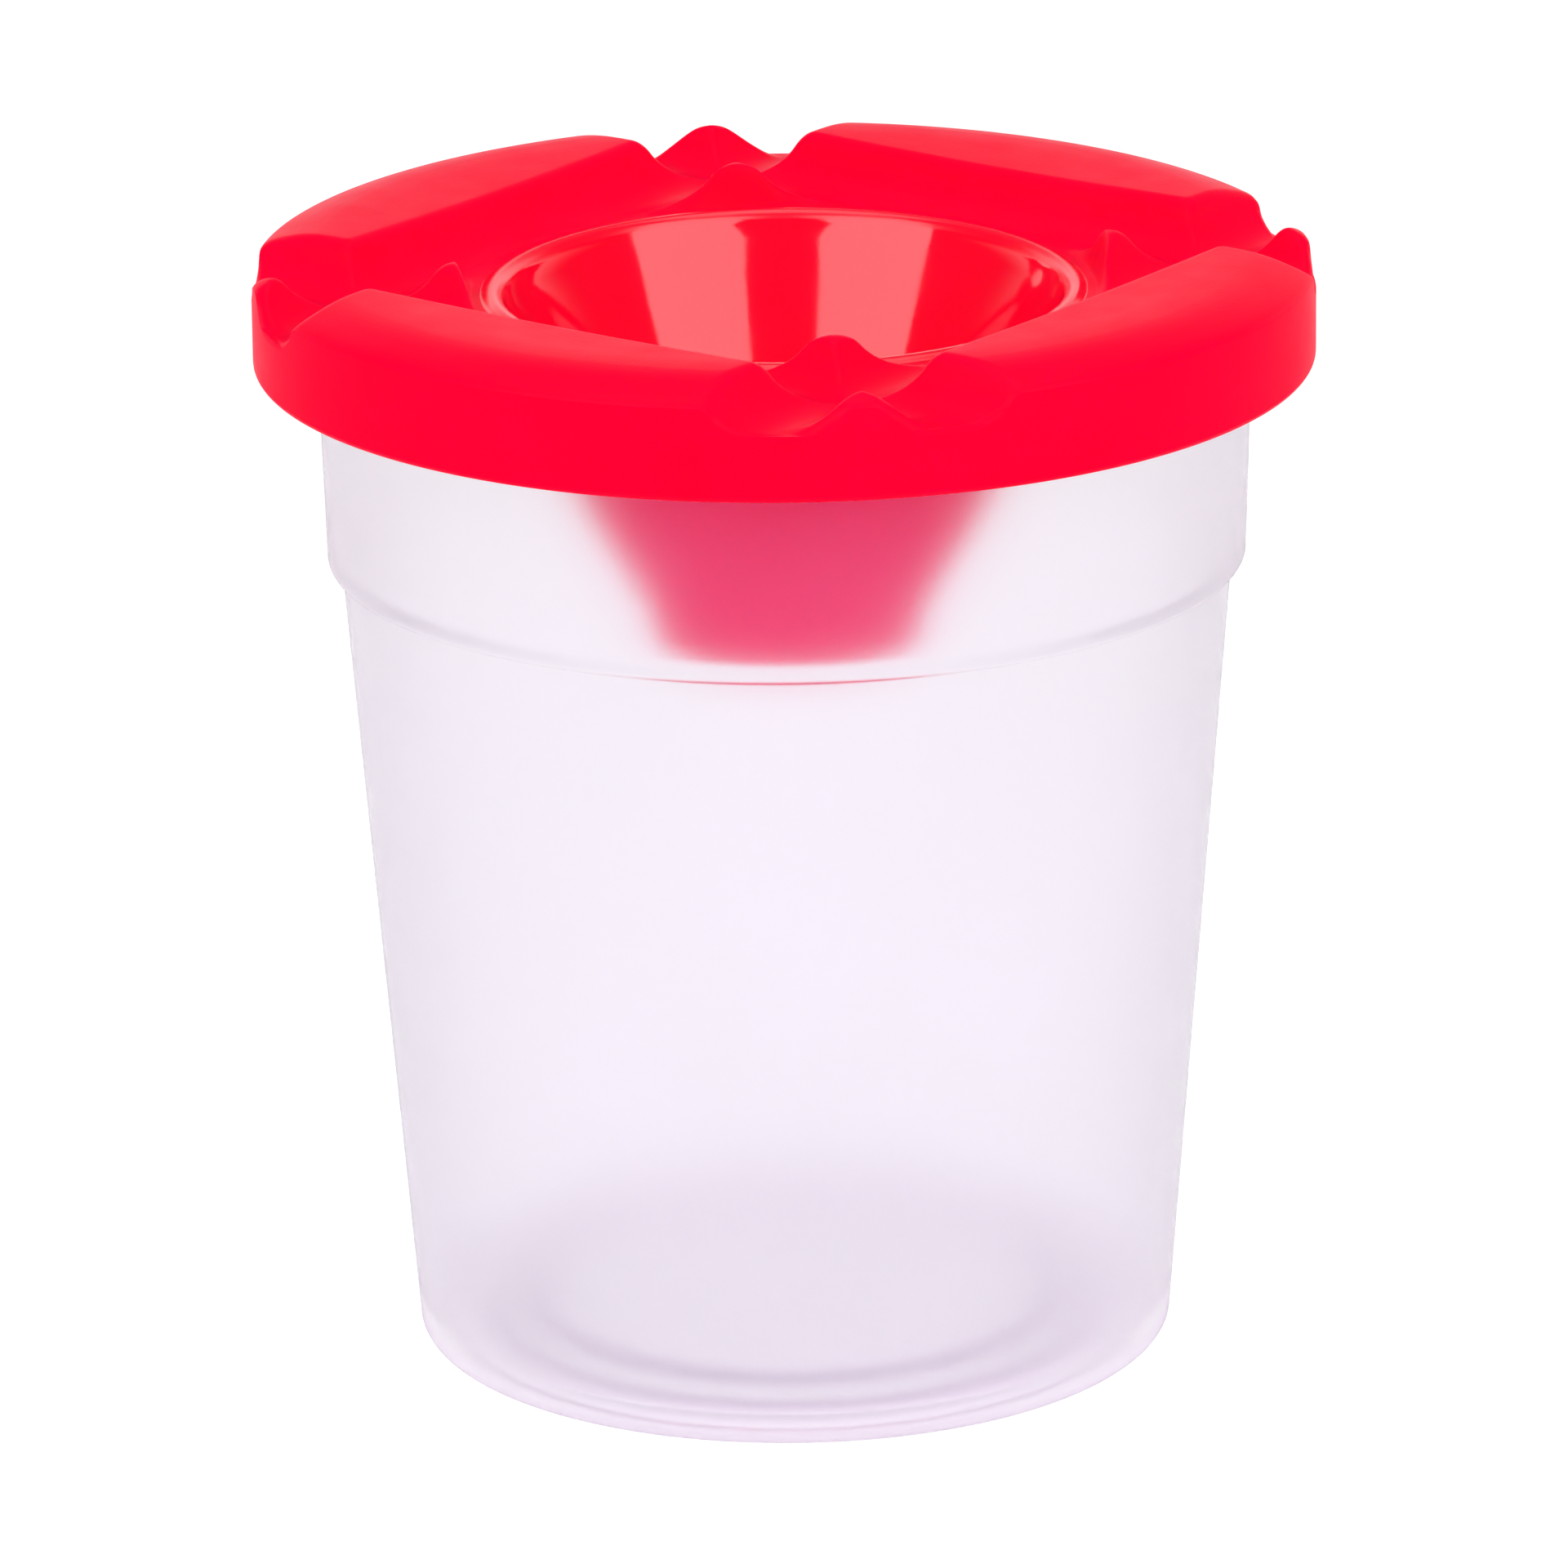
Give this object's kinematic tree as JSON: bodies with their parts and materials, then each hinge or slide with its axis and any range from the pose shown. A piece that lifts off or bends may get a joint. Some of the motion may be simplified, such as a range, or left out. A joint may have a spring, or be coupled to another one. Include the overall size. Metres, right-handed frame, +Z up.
{
  "type": "paint cup with lid",
  "caption": "Round frosted paint cup with a lift-off lid: a funnel mouth with a short spout, and straight grooves across the rim that hold brushes.",
  "frame": {"origin": "centre of the cup's base, on the ground plane", "axes": "+Z up along the cup's axis; the lid's four straight brush grooves run parallel to X and Y"},
  "size_m": [0.08, 0.08, 0.0858],
  "materials": {
    "cup": "frosted translucent, fine matte",
    "lid": "fine matte outside, glossy inside the funnel"
  },
  "bodies": {
    "cup": {"cup": "cup"},
    "lid": {"lid": "lid"}
  },
  "joints": [
    {"name": "lid_lift", "type": "slide", "parent": "cup", "child": "lid", "axis": [0, 0, 1], "range_m": [0, 0.045]}
  ]
}
